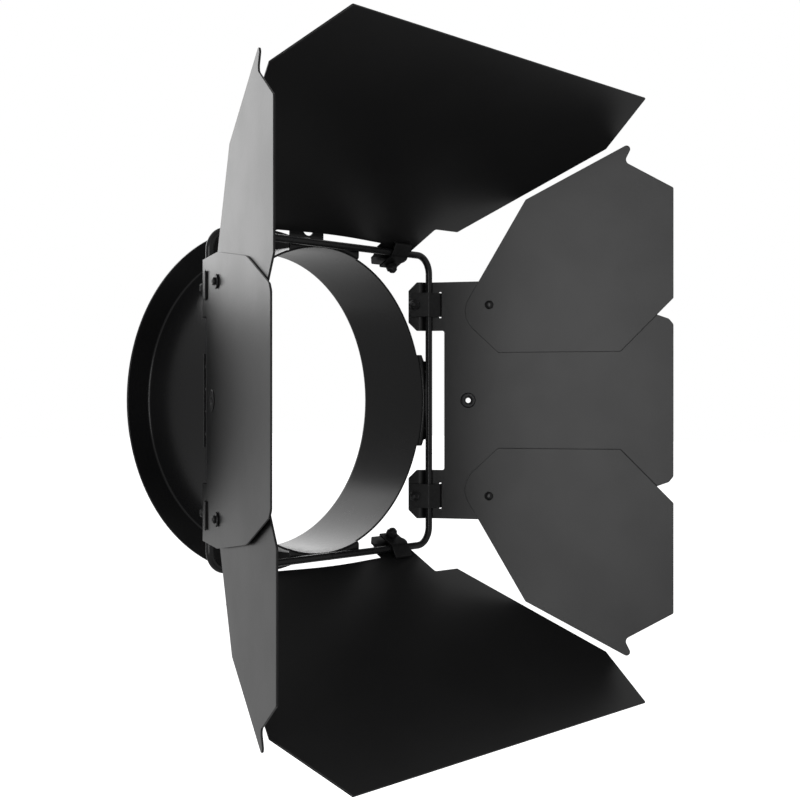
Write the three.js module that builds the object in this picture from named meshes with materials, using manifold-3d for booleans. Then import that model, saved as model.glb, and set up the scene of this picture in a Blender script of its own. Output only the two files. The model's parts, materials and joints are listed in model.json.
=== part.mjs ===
// Barn doors for a round studio light: a flanged collar carries a square wire frame, and four sheet
// leaves clamp around the frame's rods. The left and right leaves each carry two swinging wings.
//
// Millimetres, +Z up. The flange's back face lies in the plane Y = 0, the collar's axis is the Y axis,
// and the light leaves towards -Y. The origin is the centre of the flange's back face.

import * as THREE from 'three';
import { mergeVertices } from 'three/addons/utils/BufferGeometryUtils.js';
import Module from 'manifold-3d';

const wasm = await Module();
wasm.setup();

// ---------------------------------------------------------------- driving dimensions

// Clearance left wherever two pieces touch or slide on the real object.
const GAP = 0.3;

// Collar: a spun ring with a flange at the back and four tabs turned outwards at the front.
const COLLAR_BORE_RADIUS = 104;
const COLLAR_WALL = 1.5;
const COLLAR_SEGMENTS = 80;
const FLANGE_RADIUS = 122.5;
const FLANGE_THICKNESS = 1.5;
const BEND_RADIUS = 1.4;
const MOUTH_RADIUS = 1.8;
const RIM_Y = -57.3;

// Square frame of round rod, whose four straight runs are the leaves' hinge axes.
const ROD_RADIUS = 2.5;
const ROD_SIDES = 14;
const FRAME_HALF = 106.3;
const FRAME_Y = -63.5;
const FRAME_CORNER_RADIUS = 13;
const CORNER_STEPS = 6;

// Tabs behind the rods, and the lug on the top one. The left and right tabs step in towards their tips.
const TAB_THICKNESS = 1.5;
const TAB_FRONT_Y = FRAME_Y + ROD_RADIUS + GAP;
const TAB_BACK_Y = TAB_FRONT_Y + TAB_THICKNESS;
const TAB_INSIDE = 95;
const TAB_ROOT_HALF = 33.5;
const TAB_TIP_HALF = 29;
const TAB_STEP_FROM = 101.6;
const TAB_STEP_TO = 104.2;
const TAB_END = 108.5;
const TAB_CORNER_RADIUS = 1;
const TAB_STEP_RADIUS = 0.8;
const LUG_LEFT = -33.5;
const LUG_RIGHT = -2;
const LUG_TOP = 127;
const LUG_HOLE_X = -16.5;
const LUG_HOLE_Z = 116.8;
const LUG_HOLE_RADIUS = 5.8;
const LUG_CORNER_RADIUS = 5;

// Leaves. Each is drawn flat: x runs away from the hinge rod, y along it, and z towards the light.
const SHEET = 1.2;
const SHEET_OFFSET = ROD_RADIUS + GAP + SHEET / 2;
const LEAF_INNER_FACE = -SHEET_OFFSET + SHEET / 2;
const LEAF_OUTER_FACE = -SHEET_OFFSET - SHEET / 2;
const SIDE_ANGLE = 60.5;
const TOP_ANGLE = 59.25;

// Ears that reach back over the rod at the two ends of a leaf's hinge side.
const EAR_INNER = 51.5;
const EAR_OUTER = 87.5;
const EAR_END = -15.3;
const EAR_CHAMFER = 6.2;
const EAR_OFFSET = 0.2;
const JOGGLE_FROM = -2.4;
const JOGGLE_TO = -6.2;
const EAR_CORNER_RADIUS = 1;
const EAR_ROOT_RADIUS = 1.5;

// Strap clips that hold the rod against the ears, each with a clamp screw and a nut.
const STRAP_THICKNESS = 1.2;
const STRAP_CENTRE = 70.6;
const STRAP_WIDTH = 17.6;
const STRAP_END = -13.5;
const STRAP_TAIL = 13;
const STRAP_RISE = 8;
const STRAP_KNEE_Z = -1.2;
const STRAP_BEND = 0.5;
const STRAP_CORNER_RADIUS = 1.5;
const SLOT_HALF_WIDTH = STRAP_THICKNESS / 2 + GAP;
const SLOT_HALF_LENGTH = 9.7;
const SLOT_CORNER_RADIUS = 0.7;
const SCREW_X = -9.5;
const SCREW_RADIUS = 2;
const SCREW_HOLE_RADIUS = SCREW_RADIUS + GAP;
const SCREW_HEAD_RADIUS = 2.9;
const SCREW_HEAD_HEIGHT = 3.2;
const SCREW_TIP = 10.4;
const SCREW_CHAMFER = 0.5;
const NUT_FLATS = 7;
const NUT_HEIGHT = 3.4;
const NUT_COLLAR_RADIUS = 3;
const NUT_COLLAR_HEIGHT = 1.8;

// Wings on the two side leaves, and their pivots.
const WING_X = 44.5;
const WING_Y = 70;
const WING_LAYER_STEP = SHEET + GAP;
const PIVOT_RADIUS = 1.9;
const PIVOT_HOLE_RADIUS = PIVOT_RADIUS + GAP;
const RIVET_HEAD_RADIUS = 3.2;
const RIVET_HEAD_HEIGHT = 1.8;
const RIVET_HEAD_EDGE = 0.4;
const RIVET_TAIL = 1.9;
const RIVET_TAIL_SPREAD = 0.5;
const WASHER_RADIUS = 4.4;
const WASHER_THICKNESS = 1;

// Eyelet in the middle of each side leaf: flush inside, so that the wings can pass, with a rim outside.
const EYELET_X = 28.7;
const EYELET_HOLE_RADIUS = 1.9;
const EYELET_BARREL_RADIUS = 5.1;
const EYELET_RIM_RADIUS = 6.6;
const EYELET_RIM_HEIGHT = 0.5;
const EYELET_RIM_CHAMFER = 0.4;

// How finely round shapes and rounded corners are drawn, and how far apart two points may merge.
const ROUND_SEGMENTS = 12;
const ARC_SEGMENTS = 2;
const MERGE_DISTANCE = 1e-4;

// ---------------------------------------------------------------- materials

function coat(name, color, roughness, metalness) {
  const material = new THREE.MeshStandardMaterial({ color, roughness, metalness });
  material.name = name;
  return material;
}

const blackCoat = () => coat('black_powder_coat', 0x17181a, 0.5, 0.1);
const blackRod = () => coat('black_rod', 0x141415, 0.4, 0.3);
const blackHardware = () => coat('black_hardware', 0x0e0e0f, 0.35, 0.5);

// ---------------------------------------------------------------- solids and outlines

function toSolid(geometry) {
  const bare = new THREE.BufferGeometry();
  bare.setAttribute('position', geometry.getAttribute('position'));
  bare.setIndex(geometry.index);
  const merged = mergeVertices(bare, MERGE_DISTANCE);
  const mesh = new wasm.Mesh({
    numProp: 3,
    vertProperties: new Float32Array(merged.getAttribute('position').array),
    triVerts: new Uint32Array(merged.index.array),
  });
  return new wasm.Manifold(mesh);
}

function toGeometry(solid) {
  const mesh = solid.getMesh();
  const geometry = new THREE.BufferGeometry();
  geometry.setAttribute('position', new THREE.BufferAttribute(new Float32Array(mesh.vertProperties), 3));
  geometry.setIndex(new THREE.BufferAttribute(new Uint32Array(mesh.triVerts), 1));
  return geometry;
}

// A closed outline through corners [x, y, radius]; a corner with a radius is rounded by an arc.
function outline(corners, path = new THREE.Shape()) {
  corners.forEach(([x, y, radius = 0], i) => {
    const here = new THREE.Vector2(x, y);
    const before = new THREE.Vector2(...corners.at(i - 1)).sub(here).normalize();
    const after = new THREE.Vector2(...corners[(i + 1) % corners.length]).sub(here).normalize();
    if (radius === 0) {
      if (i === 0) path.moveTo(x, y);
      else path.lineTo(x, y);
      return;
    }
    const half = Math.acos(before.dot(after)) / 2;
    const setback = radius / Math.tan(half);
    const middle = before.clone().add(after).normalize();
    const centre = here.clone().addScaledVector(middle, radius / Math.sin(half));
    const start = here.clone().addScaledVector(before, setback).sub(centre);
    const end = here.clone().addScaledVector(after, setback).sub(centre);
    const clockwise = before.cross(after) > 0;
    path.absarc(centre.x, centre.y, radius, start.angle(), end.angle(), clockwise);
  });
  path.closePath();
  return path;
}

// The half outline above the x axis, followed by its mirror image below it.
function mirrored(half) {
  const lower = half.map(([x, y, radius]) => [x, -y, radius]).reverse();
  return [...half, ...lower];
}

function circle(x, y, radius, segments = ROUND_SEGMENTS) {
  const curve = new THREE.EllipseCurve(x, y, radius, radius, 0, 2 * Math.PI);
  return new THREE.Path(curve.getPoints(segments).slice(0, -1));
}

function prism(shape, from, to) {
  const geometry = new THREE.ExtrudeGeometry(shape, {
    depth: to - from,
    bevelEnabled: false,
    curveSegments: ARC_SEGMENTS,
  });
  return geometry.translate(0, 0, from);
}

// A turned solid around the local z axis, from a profile of [radius, z] points.
function turned(profile, segments = ROUND_SEGMENTS) {
  const points = profile.map(([radius, z]) => new THREE.Vector2(radius, z));
  return new THREE.LatheGeometry(points, segments).rotateX(Math.PI / 2);
}

// The outline of a bent strip of sheet: a centre line offset by half a thickness to both sides.
function stripShape(centreLine, thickness) {
  const sides = [[], []];
  centreLine.forEach((point, i) => {
    const into = point.clone().sub(centreLine[Math.max(i - 1, 0)]);
    const out = centreLine[Math.min(i + 1, centreLine.length - 1)].clone().sub(point);
    const tangents = [into, out].filter((step) => step.length() > 0).map((step) => step.normalize());
    const tangent = tangents.reduce((sum, step) => sum.clone().add(step)).normalize();
    const reach = thickness / 2 / tangent.dot(tangents[0]);
    const normal = new THREE.Vector2(-tangent.y, tangent.x);
    sides[0].push(point.clone().addScaledVector(normal, reach));
    sides[1].unshift(point.clone().addScaledVector(normal, -reach));
  });
  return new THREE.Shape([...sides[0], ...sides[1]]);
}

// A strip profile drawn in x and z, as wide as the span from one y to the other.
function stripSolid(centreLine, thickness, from, to) {
  return prism(stripShape(centreLine, thickness), -to, -from).rotateX(Math.PI / 2);
}

// ---------------------------------------------------------------- collar and frame

// The spun ring, with its wall running on to the front of the tabs and its bore still undersize.
function collarRing() {
  const wallOuter = COLLAR_BORE_RADIUS + COLLAR_WALL;
  const undersize = COLLAR_BORE_RADIUS - COLLAR_WALL;
  const edgeRadius = FLANGE_THICKNESS / 2;
  const bendY = -FLANGE_THICKNESS - BEND_RADIUS;
  const mouth = COLLAR_BORE_RADIUS + MOUTH_RADIUS;
  const profile = new THREE.Path();
  profile.moveTo(undersize, -MOUTH_RADIUS);
  profile.lineTo(undersize, TAB_FRONT_Y);
  profile.lineTo(wallOuter, TAB_FRONT_Y);
  profile.absarc(wallOuter + BEND_RADIUS, bendY, BEND_RADIUS, Math.PI, Math.PI / 2, true);
  profile.absarc(FLANGE_RADIUS - edgeRadius, -edgeRadius, edgeRadius, -Math.PI / 2, Math.PI / 2);
  profile.absarc(mouth, -MOUTH_RADIUS, MOUTH_RADIUS, Math.PI / 2, Math.PI);
  profile.closePath();
  return new THREE.LatheGeometry(profile.getPoints(ARC_SEGMENTS), COLLAR_SEGMENTS);
}

// A plate in the plane behind the rods, drawn in x and z.
function tabPlate(shape) {
  return toSolid(prism(shape, -TAB_BACK_Y, -TAB_FRONT_Y).rotateX(Math.PI / 2));
}

function straightTabShape() {
  return outline([
    [-TAB_ROOT_HALF, TAB_INSIDE],
    [TAB_ROOT_HALF, TAB_INSIDE],
    [TAB_ROOT_HALF, TAB_END, TAB_CORNER_RADIUS],
    [-TAB_ROOT_HALF, TAB_END, TAB_CORNER_RADIUS],
  ]);
}

function steppedTabShape() {
  return outline([
    [-TAB_ROOT_HALF, TAB_INSIDE],
    [TAB_ROOT_HALF, TAB_INSIDE],
    [TAB_ROOT_HALF, TAB_STEP_FROM, TAB_STEP_RADIUS],
    [TAB_TIP_HALF, TAB_STEP_TO],
    [TAB_TIP_HALF, TAB_END, TAB_CORNER_RADIUS],
    [-TAB_TIP_HALF, TAB_END, TAB_CORNER_RADIUS],
    [-TAB_TIP_HALF, TAB_STEP_TO],
    [-TAB_ROOT_HALF, TAB_STEP_FROM, TAB_STEP_RADIUS],
  ]);
}

function lugShape() {
  const shape = outline([
    [LUG_LEFT, TAB_STEP_FROM],
    [LUG_RIGHT, TAB_STEP_FROM],
    [LUG_RIGHT, LUG_TOP, LUG_CORNER_RADIUS],
    [LUG_LEFT, LUG_TOP, LUG_CORNER_RADIUS],
  ]);
  shape.holes.push(circle(LUG_HOLE_X, LUG_HOLE_Z, LUG_HOLE_RADIUS));
  return shape;
}

// Everything between two tabs, in front of the rim.
function rimCut(quarter) {
  const reach = FLANGE_RADIUS;
  const size = reach - TAB_ROOT_HALF;
  const middle = TAB_ROOT_HALF + size / 2;
  const front = FRAME_Y - ROD_RADIUS;
  const box = new THREE.BoxGeometry(size, RIM_Y - front, size);
  box.translate(middle, (RIM_Y + front) / 2, middle);
  return toSolid(box.rotateY(quarter * Math.PI / 2));
}

function collarGeometry() {
  let solid = toSolid(collarRing());
  for (let quarter = 0; quarter < 4; quarter += 1) {
    solid = solid.subtract(rimCut(quarter));
  }
  for (let quarter = 0; quarter < 4; quarter += 1) {
    const shape = quarter % 2 === 0 ? straightTabShape() : steppedTabShape();
    solid = solid.add(tabPlate(shape).rotate([0, 90 * quarter, 0]));
  }
  solid = solid.add(tabPlate(lugShape()));
  const radius = COLLAR_BORE_RADIUS;
  const boreLength = 4 * Math.abs(FRAME_Y);
  const bore = new THREE.CylinderGeometry(radius, radius, boreLength, COLLAR_SEGMENTS);
  return toGeometry(solid.subtract(toSolid(bore)));
}

// The centre line of the frame's rod: out from the middle of the bottom side and once around,
// ending one gap short of its start, where the two ends butt together.
class FramePath extends THREE.Curve {
  constructor() {
    super();
    const straight = FRAME_HALF - FRAME_CORNER_RADIUS;
    this.points = [];
    this.tangents = [];
    const add = (x, z, angle) => {
      this.points.push(new THREE.Vector3(x, FRAME_Y, z));
      this.tangents.push(new THREE.Vector3(Math.cos(angle), 0, Math.sin(angle)));
    };
    add(0, -FRAME_HALF, 0);
    for (let corner = 0; corner < 4; corner += 1) {
      const start = corner * Math.PI / 2;
      const centreX = straight * Math.SQRT2 * Math.cos(start - Math.PI / 4);
      const centreZ = straight * Math.SQRT2 * Math.sin(start - Math.PI / 4);
      for (let i = 0; i <= CORNER_STEPS; i += 1) {
        const angle = start + (i / CORNER_STEPS) * Math.PI / 2;
        const x = centreX + FRAME_CORNER_RADIUS * Math.sin(angle);
        const z = centreZ - FRAME_CORNER_RADIUS * Math.cos(angle);
        add(x, z, angle);
      }
    }
    add(-GAP, -FRAME_HALF, 0);
  }

  get steps() {
    return this.points.length - 1;
  }

  getPointAt(u, target = new THREE.Vector3()) {
    return target.copy(this.points[Math.round(u * this.steps)]);
  }

  getTangentAt(u, target = new THREE.Vector3()) {
    return target.copy(this.tangents[Math.round(u * this.steps)]);
  }
}

function frameGeometry() {
  const path = new FramePath();
  const section = new THREE.Shape(circle(0, 0, ROD_RADIUS, ROD_SIDES).getPoints());
  return new THREE.ExtrudeGeometry(section, { steps: path.steps, extrudePath: path });
}

// ---------------------------------------------------------------- leaves

// Corners of one ear and its root, from the middle of the hinge side round to the outer end.
function earCorners(hingeSideX) {
  return [
    [hingeSideX, EAR_INNER, EAR_ROOT_RADIUS],
    [EAR_END + EAR_CHAMFER, EAR_INNER, EAR_CORNER_RADIUS],
    [EAR_END, EAR_INNER + EAR_CHAMFER, EAR_CORNER_RADIUS],
    [EAR_END, EAR_OUTER - EAR_CHAMFER, EAR_CORNER_RADIUS],
    [EAR_END + EAR_CHAMFER, EAR_OUTER, EAR_CORNER_RADIUS],
  ];
}

function sideLeafShape() {
  const shape = outline(mirrored([
    ...earCorners(11),
    [42, EAR_OUTER],
    [121, 76.8],
    [171.8, 58, 3],
    [175, 54, 3],
  ]));
  shape.holes.push(circle(EYELET_X, 0, EYELET_BARREL_RADIUS + GAP));
  for (const y of [WING_Y, -WING_Y]) {
    shape.holes.push(circle(WING_X, y, PIVOT_HOLE_RADIUS));
  }
  return shape;
}

// The hinge side bows away from the rod a little; the leaf steps out to its full width past the ears.
function topLeafShape() {
  return outline([
    ...mirrored([
      ...earCorners(4.6),
      [27, EAR_OUTER, 1.5],
      [27.5, 112, 1],
      [136, 163.8, 1.5],
      [186, 144.6, 1],
    ]),
    [7.4, 0, 500],
  ]);
}

function slotAndScrewHoles(shape) {
  for (const y of [STRAP_CENTRE, -STRAP_CENTRE]) {
    shape.holes.push(outline([
      [STRAP_RISE - SLOT_HALF_WIDTH, y - SLOT_HALF_LENGTH, SLOT_CORNER_RADIUS],
      [STRAP_RISE + SLOT_HALF_WIDTH, y - SLOT_HALF_LENGTH, SLOT_CORNER_RADIUS],
      [STRAP_RISE + SLOT_HALF_WIDTH, y + SLOT_HALF_LENGTH, SLOT_CORNER_RADIUS],
      [STRAP_RISE - SLOT_HALF_WIDTH, y + SLOT_HALF_LENGTH, SLOT_CORNER_RADIUS],
    ], new THREE.Path()));
    shape.holes.push(circle(SCREW_X, y, SCREW_HOLE_RADIUS));
  }
  return shape;
}

// A flat sheet whose ears are set inwards by a joggle, where they pass behind the rod.
function leafGeometry(shape) {
  const reach = 250;
  const bend = [
    new THREE.Vector2(-reach, -EAR_OFFSET),
    new THREE.Vector2(JOGGLE_TO, -EAR_OFFSET),
    new THREE.Vector2(JOGGLE_FROM, -SHEET_OFFSET),
    new THREE.Vector2(reach, -SHEET_OFFSET),
  ];
  const sheet = toSolid(stripSolid(bend, SHEET, -reach, reach));
  const cutter = toSolid(prism(slotAndScrewHoles(shape), -2 * SHEET_OFFSET, 2 * SHEET_OFFSET));
  return toGeometry(sheet.intersect(cutter));
}

// ---------------------------------------------------------------- wings and their pivots

// Where a wing's back lies on the leaf's z axis: layer 0 is next to the leaf, layer 1 passes over it.
function wingBack(layer) {
  return LEAF_INNER_FACE + GAP + layer * WING_LAYER_STEP;
}

function wingGeometry(sign) {
  const corners = [
    [22, 62.3, 18],
    [71, 146, 1.5],
    [148.4, 185.15, 2.65],
    [141.15, 170.44, 3.7],
    [175, 150.5, 1.5],
    [175, 72.5, 1],
    [138.4, 35, 1],
    [51, 35, 1],
  ];
  const shape = outline(corners.map(([x, y, radius]) => [x, sign * y, radius]));
  shape.holes.push(circle(WING_X, sign * WING_Y, PIVOT_HOLE_RADIUS));
  return prism(shape, 0, SHEET);
}

function ring(outer, inner, thickness) {
  const shape = new THREE.Shape(circle(0, 0, outer).getPoints());
  shape.holes.push(circle(0, 0, inner));
  return prism(shape, 0, thickness);
}

// A domed head over the wing, a stem through the leaf, and a spread tail outside the washer.
function rivetGeometry(layer) {
  const under = wingBack(layer) + SHEET + GAP;
  const washerOuter = LEAF_OUTER_FACE - GAP - WASHER_THICKNESS;
  const end = washerOuter - RIVET_TAIL;
  return turned([
    [0, end],
    [PIVOT_RADIUS, end],
    [PIVOT_RADIUS + RIVET_TAIL_SPREAD, end + RIVET_HEAD_EDGE],
    [PIVOT_RADIUS + RIVET_TAIL_SPREAD, washerOuter - GAP],
    [PIVOT_RADIUS, washerOuter - GAP],
    [PIVOT_RADIUS, under],
    [RIVET_HEAD_RADIUS, under],
    [RIVET_HEAD_RADIUS, under + RIVET_HEAD_EDGE],
    [RIVET_HEAD_RADIUS * 0.8, under + RIVET_HEAD_HEIGHT * 0.7],
    [RIVET_HEAD_RADIUS * 0.45, under + RIVET_HEAD_HEIGHT],
    [0, under + RIVET_HEAD_HEIGHT],
  ]);
}

// A barrel through the sheet, flush with the inner face and with a rim over the outer one.
function eyeletGeometry() {
  const outer = LEAF_OUTER_FACE - GAP;
  return turned([
    [EYELET_HOLE_RADIUS, outer - EYELET_RIM_HEIGHT],
    [EYELET_RIM_RADIUS - EYELET_RIM_CHAMFER, outer - EYELET_RIM_HEIGHT],
    [EYELET_RIM_RADIUS, outer],
    [EYELET_BARREL_RADIUS, outer],
    [EYELET_BARREL_RADIUS, LEAF_INNER_FACE],
    [EYELET_HOLE_RADIUS, LEAF_INNER_FACE],
    [EYELET_HOLE_RADIUS, outer - EYELET_RIM_HEIGHT],
  ]);
}

// ---------------------------------------------------------------- strap clips and clamp screws

// The tail lies on the leaf's outer face, turns in through the slot, and rolls over the rod.
function strapCentreLine() {
  const tailZ = LEAF_OUTER_FACE - GAP - STRAP_THICKNESS / 2;
  const rollRadius = ROD_RADIUS + GAP + STRAP_THICKNESS / 2;
  const kneeAngle = Math.atan2(STRAP_KNEE_Z, STRAP_RISE);
  const tangentAngle = kneeAngle + Math.acos(rollRadius / Math.hypot(STRAP_RISE, STRAP_KNEE_Z));
  const line = new THREE.Path();
  line.moveTo(STRAP_TAIL, tailZ);
  line.lineTo(STRAP_RISE + STRAP_BEND, tailZ);
  line.lineTo(STRAP_RISE, tailZ + STRAP_BEND);
  line.lineTo(STRAP_RISE, STRAP_KNEE_Z);
  line.absarc(0, 0, rollRadius, tangentAngle, Math.PI / 2);
  line.lineTo(STRAP_END, rollRadius);
  return line.getPoints(ARC_SEGMENTS);
}

function strapGeometry() {
  const width = STRAP_WIDTH / 2;
  const shape = outline([
    [STRAP_END, -width, STRAP_CORNER_RADIUS],
    [2 * STRAP_TAIL, -width],
    [2 * STRAP_TAIL, width],
    [STRAP_END, width, STRAP_CORNER_RADIUS],
  ]);
  shape.holes.push(circle(SCREW_X, 0, SCREW_HOLE_RADIUS));
  const blank = toSolid(prism(shape, -STRAP_TAIL, STRAP_TAIL));
  const bent = toSolid(stripSolid(strapCentreLine(), STRAP_THICKNESS, -STRAP_WIDTH, STRAP_WIDTH));
  return toGeometry(blank.intersect(bent));
}

function screwGeometry() {
  const under = -EAR_OFFSET - SHEET / 2 - GAP;
  const top = under - SCREW_HEAD_HEIGHT;
  return turned([
    [0, top],
    [SCREW_HEAD_RADIUS * 0.5, top],
    [SCREW_HEAD_RADIUS * 0.88, top + SCREW_HEAD_HEIGHT * 0.28],
    [SCREW_HEAD_RADIUS, top + SCREW_HEAD_HEIGHT * 0.6],
    [SCREW_HEAD_RADIUS, under],
    [SCREW_RADIUS, under],
    [SCREW_RADIUS, SCREW_TIP - SCREW_CHAMFER],
    [SCREW_RADIUS - SCREW_CHAMFER, SCREW_TIP],
    [0, SCREW_TIP],
  ]);
}

// A lock nut: a hexagon with a round collar on its outer side.
function nutGeometry() {
  const sides = 6;
  const shape = new THREE.Shape(circle(0, 0, NUT_FLATS / Math.sqrt(3), sides).getPoints());
  shape.holes.push(circle(0, 0, SCREW_HOLE_RADIUS));
  const low = ROD_RADIUS + GAP + STRAP_THICKNESS + GAP;
  const hexagon = toSolid(prism(shape, low, low + NUT_HEIGHT));
  const collar = toSolid(ring(NUT_COLLAR_RADIUS, SCREW_HOLE_RADIUS, NUT_HEIGHT + NUT_COLLAR_HEIGHT));
  return toGeometry(hexagon.add(collar.translate([0, 0, low])));
}

// ---------------------------------------------------------------- assembly

function piece(name, geometry, material, x = 0, y = 0, z = 0) {
  const mesh = new THREE.Mesh(geometry, material);
  mesh.name = name;
  mesh.position.set(x, y, z);
  return mesh;
}

// The strap, screw and nut that clamp one ear of a leaf to its rod.
function clampPieces(name, y) {
  return [
    piece(`strap_${name}`, strapGeometry(), blackHardware(), 0, y),
    piece(`clamp_screw_${name}`, screwGeometry(), blackHardware(), SCREW_X, y),
    piece(`clamp_nut_${name}`, nutGeometry(), blackHardware(), SCREW_X, y),
  ];
}

// One wing with its rivet and the washer outside the leaf. A wing in layer 1 stands on a spacer.
function wingPieces(name, sign, layer) {
  const y = sign * WING_Y;
  const back = wingBack(layer);
  const washer = ring(WASHER_RADIUS, PIVOT_HOLE_RADIUS, WASHER_THICKNESS);
  const washerZ = LEAF_OUTER_FACE - GAP - WASHER_THICKNESS;
  const pieces = [
    piece(`wing_${name}`, wingGeometry(sign), blackCoat(), 0, 0, back),
    piece(`wing_rivet_${name}`, rivetGeometry(layer), blackHardware(), WING_X, y),
    piece(`wing_washer_${name}`, washer, blackHardware(), WING_X, y, washerZ),
  ];
  if (layer > 0) {
    const spacer = ring(WASHER_RADIUS, PIVOT_HOLE_RADIUS, back - LEAF_INNER_FACE - 2 * GAP);
    pieces.push(piece(`wing_spacer_${name}`, spacer, blackHardware(), WING_X, y, LEAF_INNER_FACE + GAP));
  }
  return pieces;
}

// A leaf with everything on it, hung on one side of the frame and opened to its angle.
function leafAssembly({ side, turn, ends, winged }) {
  const sheet = new THREE.Group();
  sheet.rotation.x = Math.PI / 2;
  const shape = winged ? sideLeafShape() : topLeafShape();
  sheet.add(piece(`leaf_${side}`, leafGeometry(shape), blackCoat()));
  ends.forEach((end, i) => {
    const sign = i === 0 ? 1 : -1;
    sheet.add(...clampPieces(`${side}_${end}`, sign * STRAP_CENTRE));
    if (winged) sheet.add(...wingPieces(`${side}_${end}`, sign, end === 'upper' ? 0 : 1));
  });
  if (winged) sheet.add(piece(`eyelet_${side}`, eyeletGeometry(), blackHardware(), EYELET_X));

  const hinge = new THREE.Group();
  hinge.position.set(FRAME_HALF, FRAME_Y, 0);
  hinge.rotation.z = -THREE.MathUtils.degToRad(winged ? SIDE_ANGLE : TOP_ANGLE);
  hinge.add(sheet);

  const around = new THREE.Group();
  around.rotation.y = turn;
  around.add(hinge);
  return around;
}

// The first end is the one towards +y of the leaf's own frame.
const LEAVES = [
  { side: 'right', turn: 0, ends: ['upper', 'lower'], winged: true },
  { side: 'top', turn: -Math.PI / 2, ends: ['left', 'right'], winged: false },
  { side: 'left', turn: Math.PI, ends: ['lower', 'upper'], winged: true },
  { side: 'bottom', turn: Math.PI / 2, ends: ['right', 'left'], winged: false },
];

const barnDoors = new THREE.Group();
barnDoors.add(piece('collar', collarGeometry(), blackCoat()));
barnDoors.add(piece('rod_frame', frameGeometry(), blackRod()));
barnDoors.add(...LEAVES.map(leafAssembly));

export default barnDoors;
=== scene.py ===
"""The looks of a set of barn doors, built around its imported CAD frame.

Helpers work in millimetres and a piece is scaled to metres when it is placed. A leaf is drawn in its
own frame: x runs away from the hinge rod, y along it, and z towards the light. Part drawings that
turn around an axis are drawn around z.
"""

import json
import math

import bmesh
import bpy
from mathutils import Matrix, Vector


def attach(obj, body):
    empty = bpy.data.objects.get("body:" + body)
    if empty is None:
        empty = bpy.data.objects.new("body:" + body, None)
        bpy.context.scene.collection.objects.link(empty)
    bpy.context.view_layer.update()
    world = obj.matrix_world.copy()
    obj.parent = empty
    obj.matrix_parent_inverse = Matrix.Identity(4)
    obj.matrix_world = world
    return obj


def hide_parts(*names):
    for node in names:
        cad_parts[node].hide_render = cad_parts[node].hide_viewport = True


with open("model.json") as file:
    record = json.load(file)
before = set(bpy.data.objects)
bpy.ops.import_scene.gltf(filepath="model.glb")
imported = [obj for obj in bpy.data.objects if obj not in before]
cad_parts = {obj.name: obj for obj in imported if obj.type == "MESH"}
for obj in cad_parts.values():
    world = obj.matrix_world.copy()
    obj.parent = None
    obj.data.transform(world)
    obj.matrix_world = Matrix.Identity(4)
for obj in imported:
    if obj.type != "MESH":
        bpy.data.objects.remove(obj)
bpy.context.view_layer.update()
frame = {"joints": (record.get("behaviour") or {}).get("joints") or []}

MM = 0.001

# ---------------------------------------------------------------- driving dimensions

GAP = 0.3

BORE_RADIUS = 104
COLLAR_WALL = 1.5
FLANGE_RADIUS = 122.5
BEND_RADIUS = 1.4
RIM_Y = -57.3
COLLAR_CORNER_RADIUS = 0.8
COLLAR_EDGE = 0.35

ROD_RADIUS = 2.5
FRAME_HALF = 106.3
FRAME_Y = -63.5
FRAME_CORNER_RADIUS = 13
SEAM_HALF_LENGTH = 2.2
SEAM_SWELL = 0.1
WELDS_ALONG_TAB = (-21, -7, 7, 21)
WELD_HALF_SIZE = (2.4, 0.45, 1.3)

TAB_FRONT_Y = FRAME_Y + ROD_RADIUS + GAP
TAB_MIDDLE_Y = TAB_FRONT_Y + COLLAR_WALL / 2
TAB_ROOT_HALF = 33.5
TAB_TIP_HALF = 29
TAB_STEP_FROM = 101.6
TAB_STEP_TO = 104.2
TAB_END = 108.5
LUG_LEFT = -33.5
LUG_RIGHT = -2
LUG_TOP = 127
LUG_CORNER_RADIUS = 5
LUG_HOLE = (-16.5, 116.8)
LUG_HOLE_RADIUS = 5.8

SHEET = 1.2
SHEET_OFFSET = ROD_RADIUS + GAP + SHEET / 2
SIDE_ANGLE = 60.5
TOP_ANGLE = 59.25

EAR_INNER = 51.5
EAR_OUTER = 87.5
EAR_END = -15.3
EAR_CHAMFER = 6.2
EAR_OFFSET = 0.2
# The joggle runs a little longer than the CAD's straight one, because its two ends are rounded.
JOGGLE_FROM = -1.7
JOGGLE_TO = -6.9
JOGGLE_STEPS = 12
EAR_CORNER_RADIUS = 1
EAR_ROOT_RADIUS = 1.5

STRAP_THICKNESS = 1.2
STRAP_CENTRE = 70.6
STRAP_WIDTH = 17.6
STRAP_END = -13.5
STRAP_TAIL = 13
STRAP_RISE = 8
STRAP_KNEE_Z = -1.2
STRAP_CORNER_RADIUS = 1.5
STRAP_TAIL_CORNER_RADIUS = 0.6
SLOT_HALF_WIDTH = STRAP_THICKNESS / 2 + GAP
SLOT_HALF_LENGTH = 9.7
SLOT_CORNER_RADIUS = 0.7
SCREW_X = -9.5
SCREW_RADIUS = 2
SCREW_PITCH = 0.7
SCREW_HEAD_RADIUS = 2.9
SCREW_HEAD_HEIGHT = 3.2
SCREW_TIP = 10.4
SOCKET_FLATS = 2.5
SOCKET_DEPTH = 1.7
SOCKET_WALL = 1.6
THREAD_DEPTH = 0.32
NUT_FLATS = 7
NUT_HEIGHT = 3.4
NUT_COLLAR_RADIUS = 3
NUT_COLLAR_HEIGHT = 1.8
NUT_COLLAR_ROLL = 0.8
NUT_CHAMFER = 0.5

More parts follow.
